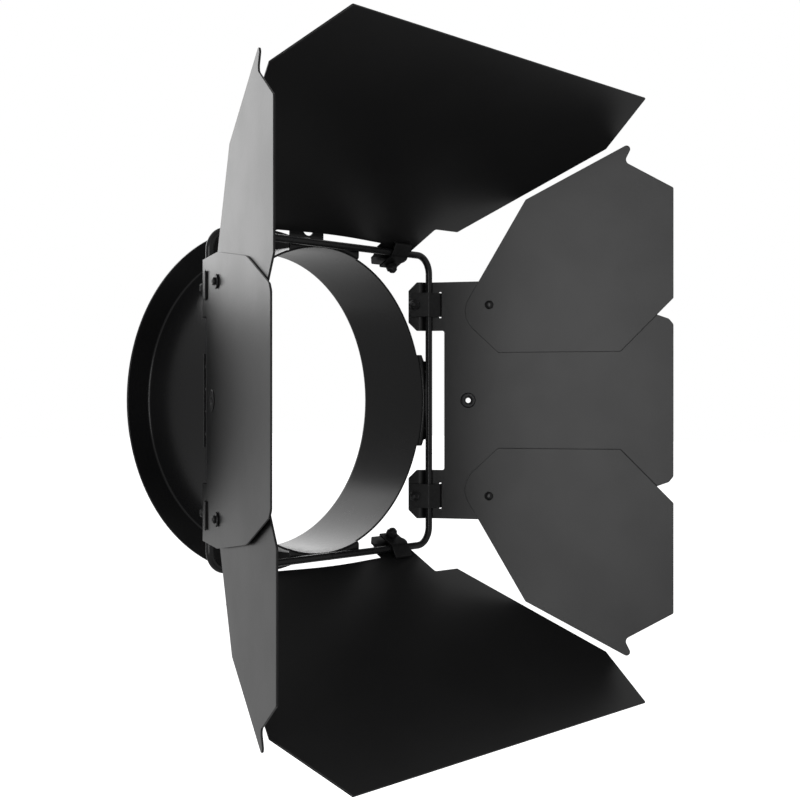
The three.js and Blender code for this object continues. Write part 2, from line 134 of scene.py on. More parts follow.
WING_PIVOT = (44.5, 70)
WING_LAYER_STEP = SHEET + GAP
PIVOT_RADIUS = 1.9
RIVET_HEAD_RADIUS = 3.2
RIVET_HEAD_HEIGHT = 1.8
RIVET_TAIL = 1.9
RIVET_TAIL_RADIUS = PIVOT_RADIUS + 0.5
DOME_SHOULDER = 0.35
WASHER_RADIUS = 4.4
WASHER_THICKNESS = 1

EYELET_X = 28.7
EYELET_HOLE_RADIUS = 1.9
EYELET_BARREL_RADIUS = 5.1
EYELET_RIM_RADIUS = 6.6
EYELET_RIM_HEIGHT = 0.5

LEAF_OUTER_FACE = -SHEET_OFFSET - SHEET / 2
LEAF_INNER_FACE = -SHEET_OFFSET + SHEET / 2
STRAP_FACE = ROD_RADIUS + GAP + STRAP_THICKNESS

# The vertex attribute that the materials read, and the turn in radians that counts as fully worn.
WEAR = "wear"
FULL_WEAR_ANGLE = 1.2

# How sharply two faces meet, in radians, at edges that are rounded over.
PLATE_EDGE_ANGLE = 1
PLATE_EDGE = 0.3
SHEET_CORNER_ANGLE = 0.9
SHEET_EDGE_ANGLE = 1.2

# ---------------------------------------------------------------- materials


class Nodes:
    """Short calls for one material's node tree, whose detail is measured in metres on the object."""

    def __init__(self, name):
        self.material = bpy.data.materials.new(name)
        self.material.use_nodes = True
        self.tree = self.material.node_tree
        self.shader = self.tree.nodes["Principled BSDF"]
        self.place = self.add("ShaderNodeTexCoord").outputs["Object"]

    def add(self, kind, **settings):
        node = self.tree.nodes.new(kind)
        for key, value in settings.items():
            setattr(node, key, value)
        return node

    def link(self, source, target):
        self.tree.links.new(source, target)

    def noise(self, per_metre, detail=2.0, roughness=0.5):
        node = self.add("ShaderNodeTexNoise")
        self.link(self.place, node.inputs["Vector"])
        node.inputs["Scale"].default_value = per_metre
        node.inputs["Detail"].default_value = detail
        node.inputs["Roughness"].default_value = roughness
        return node.outputs["Fac"]

    def grains(self, per_metre):
        node = self.add("ShaderNodeTexVoronoi", feature="SMOOTH_F1")
        self.link(self.place, node.inputs["Vector"])
        node.inputs["Scale"].default_value = per_metre
        return node.outputs["Distance"]

    def attribute(self, name):
        return self.add("ShaderNodeAttribute", attribute_name=name).outputs["Fac"]

    def spread(self, source, low, high, to_low, to_high):
        node = self.add("ShaderNodeMapRange", interpolation_type="SMOOTHSTEP")
        self.link(source, node.inputs["Value"])
        for key, value in zip(("From Min", "From Max", "To Min", "To Max"), (low, high, to_low, to_high)):
            node.inputs[key].default_value = value
        return node.outputs["Result"]

    def math(self, operation, a, b):
        node = self.add("ShaderNodeMath", operation=operation)
        for socket, value in zip(node.inputs, (a, b)):
            if isinstance(value, (int, float)):
                socket.default_value = value
            else:
                self.link(value, socket)
        return node.outputs["Value"]

    def blend(self, share, a, b):
        node = self.add("ShaderNodeMix", data_type="RGBA")
        self.link(share, node.inputs["Factor"])
        for socket, value in ((node.inputs["A"], a), (node.inputs["B"], b)):
            if isinstance(value, tuple):
                socket.default_value = (*value, 1)
            else:
                self.link(value, socket)
        return node.outputs["Result"]

    def bump(self, height, distance_mm, strength=1.0, under=None):
        node = self.add("ShaderNodeBump")
        self.link(height, node.inputs["Height"])
        node.inputs["Distance"].default_value = distance_mm * MM
        node.inputs["Strength"].default_value = strength
        if under is not None:
            self.link(under, node.inputs["Normal"])
        return node.outputs["Normal"]


def powder_coat(name, dark, light, rough):
    """Satin black powder coat: fine orange peel, soft cloudy patches, and edges rubbed a little paler."""
    n = Nodes(name)
    clouds = n.spread(n.noise(14, 3), 0.3, 0.7, 0, 1)
    grain = n.noise(2600, 1)
    rubbed = n.math("MULTIPLY", n.attribute(WEAR), n.spread(n.noise(60, 4, 0.7), 0.42, 0.72, 0.1, 1))
    colour = n.blend(clouds, dark, light)
    n.link(n.blend(rubbed, colour, tuple(3.2 * c for c in light)), n.shader.inputs["Base Color"])
    smears = n.spread(n.noise(22, 4, 0.6), 0.35, 0.7, rough - 0.012, rough + 0.012)
    n.link(n.math("ADD", smears, n.math("MULTIPLY", grain, 0.04)), n.shader.inputs["Roughness"])
    peel = n.bump(n.grains(620), 0.05, 0.35)
    n.link(n.bump(grain, 0.02, 0.5, peel), n.shader.inputs["Normal"])
    n.shader.inputs["Metallic"].default_value = 0.0
    n.shader.inputs["IOR"].default_value = 1.5
    return n.material


def rod_paint():
    """Black paint over drawn rod: smoother than powder coat, with faint draw marks."""
    n = Nodes("rod_paint")
    patches = n.spread(n.noise(35, 3), 0.35, 0.7, 0, 1)
    n.link(n.blend(patches, (0.012, 0.012, 0.013), (0.022, 0.022, 0.023)), n.shader.inputs["Base Color"])
    n.link(n.spread(n.noise(140, 3), 0.3, 0.7, 0.2, 0.3), n.shader.inputs["Roughness"])
    n.link(n.bump(n.noise(900, 2), 0.03, 0.4), n.shader.inputs["Normal"])
    return n.material


def black_oxide():
    """Black oxide on steel hardware: a dark metal with worn, brighter edges and a mottled sheen."""
    n = Nodes("black_oxide")
    mottle = n.spread(n.noise(420, 3), 0.35, 0.7, 0, 1)
    oxide = n.blend(mottle, (0.01, 0.01, 0.0105), (0.018, 0.018, 0.019))
    worn = n.math("MULTIPLY", n.attribute(WEAR), n.spread(n.noise(300, 3, 0.7), 0.45, 0.75, 0, 0.8))
    n.link(n.blend(worn, oxide, (0.16, 0.16, 0.165)), n.shader.inputs["Base Color"])
    n.link(n.spread(n.noise(700, 2), 0.3, 0.7, 0.3, 0.5), n.shader.inputs["Roughness"])
    n.link(n.bump(n.noise(2200, 2), 0.015, 0.4), n.shader.inputs["Normal"])
    n.shader.inputs["Metallic"].default_value = 0.2
    return n.material


LEAF_COAT = powder_coat("leaf_powder_coat", (0.0125, 0.0125, 0.013), (0.0145, 0.0145, 0.015), 0.3)
COLLAR_COAT = powder_coat("collar_powder_coat", (0.0095, 0.0095, 0.01), (0.0115, 0.0115, 0.012), 0.24)
RIVET_PAINT = powder_coat("rivet_paint", (0.014, 0.014, 0.0145), (0.017, 0.017, 0.0175), 0.26)
ROD_PAINT = rod_paint()
HARDWARE = black_oxide()

# ---------------------------------------------------------------- outlines and meshes


def outline(corners, steps=8):
    """Points round corners (x, y, radius); a corner with a radius becomes an arc."""
    points = []
    for i, (x, y, *more) in enumerate(corners):
        radius = more[0] if more else 0
        here = Vector((x, y))
        if radius == 0:
            points.append(here)
            continue
        before = (Vector(corners[i - 1][:2]) - here).normalized()
        after = (Vector(corners[(i + 1) % len(corners)][:2]) - here).normalized()
        half = before.angle(after) / 2
        centre = here + (before + after).normalized() * (radius / math.sin(half))
        start = here + before * (radius / math.tan(half)) - centre
        end = here + after * (radius / math.tan(half)) - centre
        turn = start.angle_signed(end)
        for k in range(steps + 1):
            spoke = start.copy()
            spoke.rotate(Matrix.Rotation(-turn * k / steps, 2))
            points.append(centre + spoke)
    return points


def mirrored(half):
    return half + [(x, -y, *more) for x, y, *more in reversed(half)]


def circle(x, y, radius, segments=40):
    angles = [2 * math.pi * i / segments for i in range(segments)]
    return [Vector((x + radius * math.cos(a), y + radius * math.sin(a))) for a in angles]


def new_mesh():
    """An empty mesh whose vertices can record wear, which the materials read."""
    mesh = bmesh.new()
    mesh.verts.layers.float.new(WEAR)
    return mesh


def round_off(mesh, edges, offset, segments=3):
    """Rounds edges over, and records the rounding as worn."""
    made = bmesh.ops.bevel(mesh, geom=edges, offset=offset, segments=segments, profile=0.5,
                           affect="EDGES", clamp_overlap=False)
    rounded = set(made["faces"])
    layer = mesh.verts.layers.float[WEAR]
    for v in made["verts"]:
        v[layer] = 1 if rounded.issuperset(v.link_faces) else 0


def plate(outer, holes, low, high, edge=PLATE_EDGE):
    """A flat plate between two heights, with holes, whose face edges are all rounded over."""
    mesh = new_mesh()
    for loop in [outer, *holes]:
        ring = [mesh.verts.new((p.x, p.y, low)) for p in loop]
        for a, b in zip(ring, ring[1:] + ring[:1]):
            mesh.edges.new((a, b))
    bmesh.ops.triangle_fill(mesh, use_beauty=True, use_dissolve=False, edges=mesh.edges[:])
    raised = bmesh.ops.extrude_face_region(mesh, geom=mesh.faces[:], use_keep_orig=True)
    bmesh.ops.translate(mesh, verts=[v for v in raised["geom"] if isinstance(v, bmesh.types.BMVert)],
                        vec=(0, 0, high - low))
    bmesh.ops.recalc_face_normals(mesh, faces=mesh.faces[:])
    level = [e for e in mesh.edges if abs(e.verts[0].co.z - e.verts[1].co.z) < 1e-6]
    round_off(mesh, [e for e in level if e.calc_face_angle() > PLATE_EDGE_ANGLE], edge)
    return mesh


def turned(rows, segments=40, closed=False):
    """A turned solid from rows of (radius, z), outside upwards; a radius may be a function of the angle."""
    mesh = new_mesh()
    rings = []
    for radius, z in rows:
        ring = []
        for i in range(segments):
            angle = 2 * math.pi * i / segments
            r = radius(angle) if callable(radius) else radius
            ring.append(mesh.verts.new((r * math.cos(angle), r * math.sin(angle), z)))
        rings.append(ring)
    stages = list(zip(rings, rings[1:] + rings[:1]))
    for low, high in stages if closed else stages[:-1]:
        for i in range(segments):
            j = (i + 1) % segments
            mesh.faces.new((low[i], low[j], high[j], high[i]))
    if not closed:
        mesh.faces.new(rings[0][::-1])
        mesh.faces.new(rings[-1])
    bmesh.ops.recalc_face_normals(mesh, faces=mesh.faces[:])
    wear_on_turned(mesh)
    return mesh


def cut_across(mesh, places):
    """New edges across the mesh at each x in places, so that it can bend there."""
    for x in places:
        everything = mesh.verts[:] + mesh.edges[:] + mesh.faces[:]
        bmesh.ops.bisect_plane(mesh, geom=everything, plane_co=(x, 0, 0), plane_no=(1, 0, 0))


def hexagon(flats):
    """The radius of a hexagon as a function of the angle, from the distance across its flats."""
    return lambda angle: flats / 2 / math.cos((angle + math.pi / 6) % (math.pi / 3) - math.pi / 6)


def wear_on_turned(mesh):
    """A turned piece wears where its surface turns sharply."""
    layer = mesh.verts.layers.float[WEAR]
    for v in mesh.verts:
        sharpest = max(e.calc_face_angle(0) for e in v.link_edges)
        v[layer] = min(1, sharpest / FULL_WEAR_ANGLE)


def add_piece(name, mesh, material, place, body, nodes):
    """Turns a drawing into a placed piece that rides on a body and stands for the CAD nodes named."""
    data = bpy.data.meshes.new(name)
    mesh.to_mesh(data)
    mesh.free()
    data.transform(place @ Matrix.Scale(MM, 4))
    data.shade_smooth()
    data.materials.append(material)
    piece = bpy.data.objects.new(name, data)
    bpy.context.scene.collection.objects.link(piece)
    weighted = piece.modifiers.new("flat_faces_stay_flat", "WEIGHTED_NORMAL")
    weighted.keep_sharp = True
    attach(piece, body)
    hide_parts(*nodes)


# ---------------------------------------------------------------- collar

TAB_COLUMNS = 16
GAP_COLUMNS = 26
WALL_MIDDLE = BORE_RADIUS + COLLAR_WALL / 2
TAB_BEND = 1.6
FLANGE_ROWS = (FLANGE_RADIUS, 119, 115, 111)
WALL_ROWS = (-14, -28, -42, RIM_Y)
# How far out a tab's rows lie at its edge; between them the tab steps in to its narrower tip.
TAB_EDGE_ROWS = (101.3, TAB_STEP_FROM, 102.1, 102.9, 103.7, TAB_STEP_TO, 105.6, 107, TAB_END)


class Sheet:
    """A sheet's middle surface as points, each with the way out of its front face, and faces."""

    def __init__(self):
        self.points = []
        self.normals = []
        self.faces = []

    def add(self, point, normal):
        self.points.append(Vector(point))
        self.normals.append(Vector(normal))
        return len(self.points) - 1

    def join(self, column, after):
        for a, b, c, d in zip(column, column[1:], after[1:], after):
            self.faces.append((a, b, c, d))

    def thickened(self, thickness, corner, edge):
        """A solid of that thickness, with rounded corners in its outline and rounded face edges."""
        mesh = new_mesh()
        half = thickness / 2
        front = [mesh.verts.new(p + n * half) for p, n in zip(self.points, self.normals)]
        back = [mesh.verts.new(p - n * half) for p, n in zip(self.points, self.normals)]
        used = {}
        for face in self.faces:
            mesh.faces.new([front[i] for i in face])
            mesh.faces.new([back[i] for i in reversed(face)])
            for pair in zip(face, face[1:] + face[:1]):
                used[frozenset(pair)] = None if frozenset(pair) in used else pair
        border = set()
        for a, b in filter(None, used.values()):
            border.add(mesh.faces.new((front[b], front[a], back[a], back[b])))
        bmesh.ops.recalc_face_normals(mesh, faces=mesh.faces[:])
        across = [e for e in mesh.edges if set(e.link_faces) <= border and e.is_convex]
        round_off(mesh, [e for e in across if e.calc_face_angle() > SHEET_CORNER_ANGLE], corner, 4)
        round_off(mesh, [e for e in mesh.edges if e.calc_face_angle() > SHEET_EDGE_ANGLE], edge)
        return mesh


def collar_profile():
    """(radius, y) and its front (radius, y) from the flange's edge round the bend and up to the rim."""
    flange_y = -COLLAR_WALL / 2
    bend = BEND_RADIUS + COLLAR_WALL / 2
    centre = Vector((WALL_MIDDLE + bend, flange_y - bend))
    rows = [(Vector((r, flange_y)), Vector((0, -1))) for r in FLANGE_ROWS]
    for k in range(9):
        angle = k / 8 * math.pi / 2
        front = Vector((math.sin(angle), -math.cos(angle)))
        rows.append((centre - front * bend, front))
    return rows + [(Vector((WALL_MIDDLE, y)), Vector((1, 0))) for y in WALL_ROWS]


def tab_profile(start):
    """(out, y), its front, and how far in the tab has stepped, from the rim round the bend to the tip."""
    centre = Vector((start + TAB_BEND, TAB_MIDDLE_Y + TAB_BEND))
    rows = []
    for k in range(7):
        angle = k / 6 * math.pi / 2
        front = Vector((math.cos(angle), math.sin(angle)))
        rows.append((centre - front * TAB_BEND, front, 0))
    edge_start = math.sqrt(WALL_MIDDLE ** 2 - TAB_ROOT_HALF ** 2) + TAB_BEND
    for out in TAB_EDGE_ROWS:
        share = (out - edge_start) / (TAB_END - edge_start)
        stepped = min(1, max(0, (out - TAB_STEP_FROM) / (TAB_STEP_TO - TAB_STEP_FROM)))
        at = Vector((centre.x + (TAB_END - centre.x) * share, TAB_MIDDLE_Y))
        rows.append((at, Vector((0, 1)), stepped))
    return rows


def collar_mesh():
    """Ring and flange, with a tab turned outwards at each of the four sides of its rim."""
    sheet = Sheet()
    profile = collar_profile()
    edge_angle = math.asin(TAB_ROOT_HALF / WALL_MIDDLE)
    rings = []
    for quarter in range(4):
        turn = quarter * math.pi / 2
        tab = []
        tip_half = TAB_TIP_HALF if quarter % 2 else TAB_ROOT_HALF
        for k in range(TAB_COLUMNS + 1):
            s = TAB_ROOT_HALF * (2 * k / TAB_COLUMNS - 1)
            rings.append(ring_column(sheet, profile, turn + math.asin(s / WALL_MIDDLE)))
            tab.append(tab_column(sheet, rings[-1][-1], turn, s, tip_half))
        for column, after in zip(tab, tab[1:]):
            sheet.join(column, after)
        for k in range(1, GAP_COLUMNS):
            angle = edge_angle + (math.pi / 2 - 2 * edge_angle) * k / GAP_COLUMNS
            rings.append(ring_column(sheet, profile, turn + angle))
    for ring, after in zip(rings, rings[1:] + rings[:1]):
        sheet.join(ring, after)
    return sheet.thickened(COLLAR_WALL, COLLAR_CORNER_RADIUS, COLLAR_EDGE)


def ring_column(sheet, profile, around):
    """The points of the flange and wall at one angle, clockwise from the top seen from the front."""
    x, z = math.sin(around), math.cos(around)
    column = []
    for at, front in profile:
        column.append(sheet.add((at.x * x, at.y, at.x * z), (front.x * x, front.y, front.x * z)))
    return column


def tab_column(sheet, rim, turn, s, tip_half):
    """The points of one tab from the rim to its tip, at s across its root."""
    x, z = math.sin(turn), math.cos(turn)
    column = [rim]
    for at, front, stepped in tab_profile(math.sqrt(WALL_MIDDLE ** 2 - s ** 2)):
        across = s * (1 + (tip_half / TAB_ROOT_HALF - 1) * stepped)
        place = (across * z + at.x * x, at.y, at.x * z - across * x)
        column.append(sheet.add(place, (front.x * x, front.y, front.x * z)))
    return column


def lug_outline():
    """The lug's lower edge follows the collar's bend; its top corners are round."""
    bend_end = WALL_MIDDLE + TAB_BEND + 0.6
    xs = [LUG_LEFT + (LUG_RIGHT - LUG_LEFT) * k / 12 for k in range(13)]
    lower = [(x, math.sqrt(bend_end ** 2 - x ** 2)) for x in xs]
    upper = [(LUG_RIGHT, LUG_TOP, LUG_CORNER_RADIUS), (LUG_LEFT, LUG_TOP, LUG_CORNER_RADIUS)]
    return outline(lower + upper)


def build_collar():
    """The sheet ring with its tabs, and the lug, a hair thicker so that no two faces share a plane."""
    add_piece("collar_shell", collar_mesh(), COLLAR_COAT, Matrix.Identity(4), "root",
              ["collar"])
    proud = 0.01
    lug = plate(lug_outline(), [circle(*LUG_HOLE, LUG_HOLE_RADIUS)],
                -COLLAR_WALL / 2 - proud, COLLAR_WALL / 2 + proud, COLLAR_EDGE)
    upright = Matrix.Translation((0, TAB_MIDDLE_Y * MM, 0)) @ Matrix.Rotation(math.pi / 2, 4, "X")
    add_piece("collar_lug", lug, COLLAR_COAT, upright, "root", ["collar"])


# ---------------------------------------------------------------- rod frame


def frame_rows(corner_steps=14):
    """Once round the square: the rod's centre as (x, z), the way outwards, and the rod's radius there."""
    straight = FRAME_HALF - FRAME_CORNER_RADIUS
    rows = []
    for corner in range(4):
        start = corner * math.pi / 2
        middle = Vector((straight, -straight))
        middle.rotate(Matrix.Rotation(start, 2))
        for k in range(corner_steps + 1):
            angle = start + k / corner_steps * math.pi / 2
            outward = Vector((math.sin(angle), -math.cos(angle)))
            rows.append((middle + outward * FRAME_CORNER_RADIUS, outward, ROD_RADIUS))
    for k in range(9):
        share = k / 4 - 1
        swell = SEAM_SWELL * (1 + math.cos(math.pi * share)) / 2
        at = Vector((SEAM_HALF_LENGTH * share, -FRAME_HALF))
        rows.append((at, Vector((0, -1)), ROD_RADIUS + swell))
    return rows


def build_rod_frame(sides=28):
    """The bent square of rod, whose ends meet in a dressed butt weld at the middle of its lower side."""
    mesh = new_mesh()
    rings = []
    for point, outward, radius in frame_rows():
        ring = []
        for k in range(sides):
            angle = 2 * math.pi * k / sides
            at = point + outward * (radius * math.cos(angle))
            ring.append(mesh.verts.new((at.x, FRAME_Y + radius * math.sin(angle), at.y)))
        rings.append(ring)
    for low, high in zip(rings, rings[1:] + rings[:1]):
        for i in range(sides):
            j = (i + 1) % sides
            mesh.faces.new((low[i], low[j], high[j], high[i]))
    bmesh.ops.recalc_face_normals(mesh, faces=mesh.faces[:])
    add_piece("frame_rod", mesh, ROD_PAINT, Matrix.Identity(4), "root", ["rod_frame"])


def build_welds():
    """Flattened weld nuggets that fill the gap between the rod and each tab."""
    mesh = new_mesh()
    for quarter in range(4):
        around = Matrix.Rotation(quarter * math.pi / 2, 4, "Y")
        for s in WELDS_ALONG_TAB:
            where = Matrix.Translation((s, TAB_FRONT_Y - GAP / 2, FRAME_HALF))
            squash = Matrix.Diagonal((*WELD_HALF_SIZE, 1))
            bmesh.ops.create_icosphere(mesh, subdivisions=3, radius=1, matrix=around @ where @ squash)
    add_piece("weld_nuggets", mesh, ROD_PAINT, Matrix.Identity(4), "root", ["rod_frame"])


# ---------------------------------------------------------------- leaves and wings


def ear_corners(hinge_side_x):
    """One ear and its root, from the middle of the hinge side round to the outer end."""
    return [
        (hinge_side_x, EAR_INNER, EAR_ROOT_RADIUS),
        (EAR_END + EAR_CHAMFER, EAR_INNER, EAR_CORNER_RADIUS),
        (EAR_END, EAR_INNER + EAR_CHAMFER, EAR_CORNER_RADIUS),
        (EAR_END, EAR_OUTER - EAR_CHAMFER, EAR_CORNER_RADIUS),
        (EAR_END + EAR_CHAMFER, EAR_OUTER, EAR_CORNER_RADIUS),
    ]


def side_leaf_outline():
    half = ear_corners(11) + [(42, EAR_OUTER, 60), (121, 76.8, 60), (171.8, 58, 3), (175, 54, 3)]
    return outline(mirrored(half))


def top_leaf_outline():
    """The hinge side bows away from the rod a little, and past the ears the leaf steps out sideways."""
    half = ear_corners(4.6) + [(27, EAR_OUTER, 1.5), (27.5, 112, 1), (136, 163.8, 1.5), (186, 144.6, 1)]
    return outline(mirrored(half) + [(7.4, 0, 500)])


def slots_and_screw_holes():
    holes = []
    for y in (STRAP_CENTRE, -STRAP_CENTRE):
        near = STRAP_RISE - SLOT_HALF_WIDTH
        far = STRAP_RISE + SLOT_HALF_WIDTH
        ends = (y - SLOT_HALF_LENGTH, y + SLOT_HALF_LENGTH)
        corners = [(near, ends[0]), (far, ends[0]), (far, ends[1]), (near, ends[1])]
        holes.append(outline([(x, end, SLOT_CORNER_RADIUS) for x, end in corners], 5))
        holes.append(circle(SCREW_X, y, SCREW_RADIUS + GAP, 28))
    return holes


def leaf_mesh(shape, holes):
    """The flat plate, with its ears set inwards by a smooth joggle where they pass behind the rod."""
    mesh = plate(shape, holes + slots_and_screw_holes(), -SHEET / 2, SHEET / 2)
    length = JOGGLE_FROM - JOGGLE_TO
    cut_across(mesh, [JOGGLE_TO + length * k / JOGGLE_STEPS for k in range(JOGGLE_STEPS + 1)])
    rise = SHEET_OFFSET - EAR_OFFSET
    for v in mesh.verts:
        t = min(1, max(0, (v.co.x - JOGGLE_TO) / length))
        slope = -rise * 6 * t * (1 - t) / length
        lean = math.atan(slope)
        x = v.co.x - v.co.z * math.sin(lean)
        z = -EAR_OFFSET - rise * t * t * (3 - 2 * t) + v.co.z * math.cos(lean)
        v.co.x, v.co.z = x, z
    return mesh


def wing_mesh(sign):
    corners = [
        (22, 62.3, 18),
        (71, 146, 1.5),
        (148.4, 185.15, 2.65),
        (141.15, 170.44, 3.7),
        (175, 150.5, 1.5),
        (175, 72.5, 1),
        (138.4, 35, 1),
        (51, 35, 1),
    ]
    shape = outline([(x, sign * y, radius) for x, y, radius in corners], 12)
    hole = circle(WING_PIVOT[0], sign * WING_PIVOT[1], PIVOT_RADIUS + GAP, 28)
    return plate(shape, [hole], 0, SHEET)


def wing_back(layer):
    """Where a wing's back lies on z: layer 0 is next to the leaf, layer 1 passes over it."""
    return LEAF_INNER_FACE + GAP + layer * WING_LAYER_STEP


def washer_mesh(thickness, edge=0.18):
    inner = PIVOT_RADIUS + GAP
    outer = WASHER_RADIUS
    return turned([
        (inner + edge, 0), (outer - edge, 0), (outer, edge), (outer, thickness - edge),
        (outer - edge, thickness), (inner + edge, thickness), (inner, thickness - edge), (inner, edge),
    ], closed=True)


def dome(radius, low, height, steps=9):
    """Rows of a domed head, from its square shoulder up to nearly its crown."""
    rise = height - DOME_SHOULDER
    rows = [(radius, low), (radius, low + DOME_SHOULDER)]
    for k in range(1, steps):
        angle = k / steps * math.pi / 2
        rows.append((radius * math.cos(angle), low + DOME_SHOULDER + rise * math.sin(angle)))
    return rows


def rivet_mesh(layer):
    """From the spread tail outside the washer, through the leaf, to the domed head over the wing."""
    under = wing_back(layer) + SHEET + GAP
    washer = LEAF_OUTER_FACE - GAP - WASHER_THICKNESS
    end = washer - RIVET_TAIL
    spread = RIVET_TAIL_RADIUS
    return turned([
        (0.9, end + 0.5), (1.1, end + 0.1), (1.3, end), (PIVOT_RADIUS, end), (spread, end + 0.5),
        (spread, washer - GAP - 0.15), (spread - 0.15, washer - GAP), (PIVOT_RADIUS, washer - GAP),
        (PIVOT_RADIUS, under), *dome(RIVET_HEAD_RADIUS, under, RIVET_HEAD_HEIGHT),
    ])


def eyelet_mesh():
    """A barrel through the sheet, flush and bell-mouthed inside, and rolled over into a rim outside."""
    rim_z = LEAF_OUTER_FACE - GAP
    roll = EYELET_RIM_HEIGHT
    soft = 0.15
    outer_mouth = Vector((0.9, 0.9))
    inner_mouth = Vector((1.9, 0.9))
    quarter = [k / 8 * math.pi / 2 for k in range(9)]
    rows = []
    for angle in quarter:
        open_x, open_z = 1 - math.cos(angle), 1 - math.sin(angle)
        rows.append((EYELET_HOLE_RADIUS + outer_mouth.x * open_x, rim_z - roll + outer_mouth.y * open_z))
    for angle in quarter:
        rows.append((EYELET_RIM_RADIUS - roll + roll * math.sin(angle), rim_z - roll * math.cos(angle)))
    rows += [(EYELET_BARREL_RADIUS, rim_z), (EYELET_BARREL_RADIUS, LEAF_INNER_FACE - soft),
             (EYELET_BARREL_RADIUS - soft, LEAF_INNER_FACE)]
    for angle in quarter:
        open_x, open_z = 1 - math.sin(angle), 1 - math.cos(angle)
        rows.append((EYELET_HOLE_RADIUS + inner_mouth.x * open_x, LEAF_INNER_FACE - inner_mouth.y * open_z))
    return turned(rows, closed=True)


# ---------------------------------------------------------------- straps, screws and nuts


class Bend:
    """A sheet's middle line in x and z, measured along from x = 0; before that it is flat and x itself."""

    def __init__(self, points):
        self.points = points
        self.along = [0]
        for a, b in zip(points, points[1:]):
            self.along.append(self.along[-1] + (b - a).length)

    def at(self, s):
        if s <= 0:
            return self.points[0] + Vector((s, 0)), Vector((1, 0))
        i = max(k for k, start in enumerate(self.along[:-1]) if start <= s or k == 0)
        step = self.points[i + 1] - self.points[i]
        share = (s - self.along[i]) / step.length
        heading = step.normalized()
        if 0 < i and share < 0.5:
            before = (self.points[i] - self.points[i - 1]).normalized()
            heading = before.lerp(heading, 0.5 + share)
        elif i + 2 < len(self.points) and share >= 0.5:
            after = (self.points[i + 2] - self.points[i + 1]).normalized()
            heading = heading.lerp(after, share - 0.5)
        return self.points[i] + step * share, heading.normalized()


def strap_bend():
    """From over the rod, down its far side, in through the slot, and back along the leaf's outer face."""
    roll = ROD_RADIUS + GAP + STRAP_THICKNESS / 2
    tail_z = LEAF_OUTER_FACE - GAP - STRAP_THICKNESS / 2
    knee = Vector((STRAP_RISE, STRAP_KNEE_Z))
    knee_angle = math.atan2(knee.y, knee.x)
    tangent = knee_angle + math.acos(roll / knee.length)
    points = []
    for k in range(13):
        angle = math.pi / 2 + (tangent - math.pi / 2) * k / 12
        points.append(Vector((roll * math.cos(angle), roll * math.sin(angle))))
    start = points[-1].copy()
    soft = outline([tuple(start), (*knee, 1.2), (STRAP_RISE, tail_z, 0.75), (STRAP_TAIL, tail_z)], 6)
    return Bend(points + soft[1:])


def strap_mesh():
    """A flat strip with its screw hole, laid along the bend."""
    bend = strap_bend()
    length = bend.along[-1]
    width = STRAP_WIDTH / 2
    shape = outline([
        (STRAP_END, -width, STRAP_CORNER_RADIUS), (length, -width, STRAP_TAIL_CORNER_RADIUS),
        (length, width, STRAP_TAIL_CORNER_RADIUS), (STRAP_END, width, STRAP_CORNER_RADIUS),
    ], 6)
    hole = circle(SCREW_X, 0, SCREW_RADIUS + GAP, 28)
    mesh = plate(shape, [hole], -STRAP_THICKNESS / 2, STRAP_THICKNESS / 2, 0.25)
    cut_across(mesh, bend.along[:-1])
    for v in mesh.verts:
        middle, heading = bend.at(v.co.x)
        height = v.co.z
        v.co.x = middle.x - heading.y * height
        v.co.z = middle.y + heading.x * height
    return mesh


def screw_mesh():
    """A domed head with a hexagon socket, and a threaded shank with a chamfered tip."""
    under = -EAR_OFFSET - SHEET / 2 - GAP
    top = under - SCREW_HEAD_HEIGHT
    socket = hexagon(SOCKET_FLATS)
    wide = SCREW_HEAD_RADIUS
    head = [
        (lambda a: socket(a) * 0.9, top + SOCKET_DEPTH), (socket, top + SOCKET_WALL),
        (socket, top + 0.12), (1.6, top), (wide * 0.62, top), (wide * 0.8, top + 0.28),
        (wide * 0.93, top + 0.85), (wide, top + 1.7), (wide, under - 0.2), (wide - 0.2, under),
        (SCREW_RADIUS, under),
    ]
    threaded_from = STRAP_FACE
    steps_a_turn = 6
    count = int((SCREW_TIP - 0.4 - threaded_from) / SCREW_PITCH * steps_a_turn)
    thread = [(SCREW_RADIUS, threaded_from - 0.4)]
    for k in range(count):
        z = threaded_from + k * SCREW_PITCH / steps_a_turn
        thread.append((thread_radius(z), z))
    tip = [(SCREW_RADIUS - 0.45, SCREW_TIP - 0.3), (SCREW_RADIUS - 0.75, SCREW_TIP)]
    return turned(head + thread + tip, 36)


def thread_radius(z):
    """The radius round a right-hand thread at one height, as a function of the angle."""
    def radius(angle):
        phase = (z / SCREW_PITCH - angle / (2 * math.pi)) % 1
        return SCREW_RADIUS - THREAD_DEPTH * min(1, max(0, 2.2 * abs(2 * phase - 1) - 0.35))
    return radius


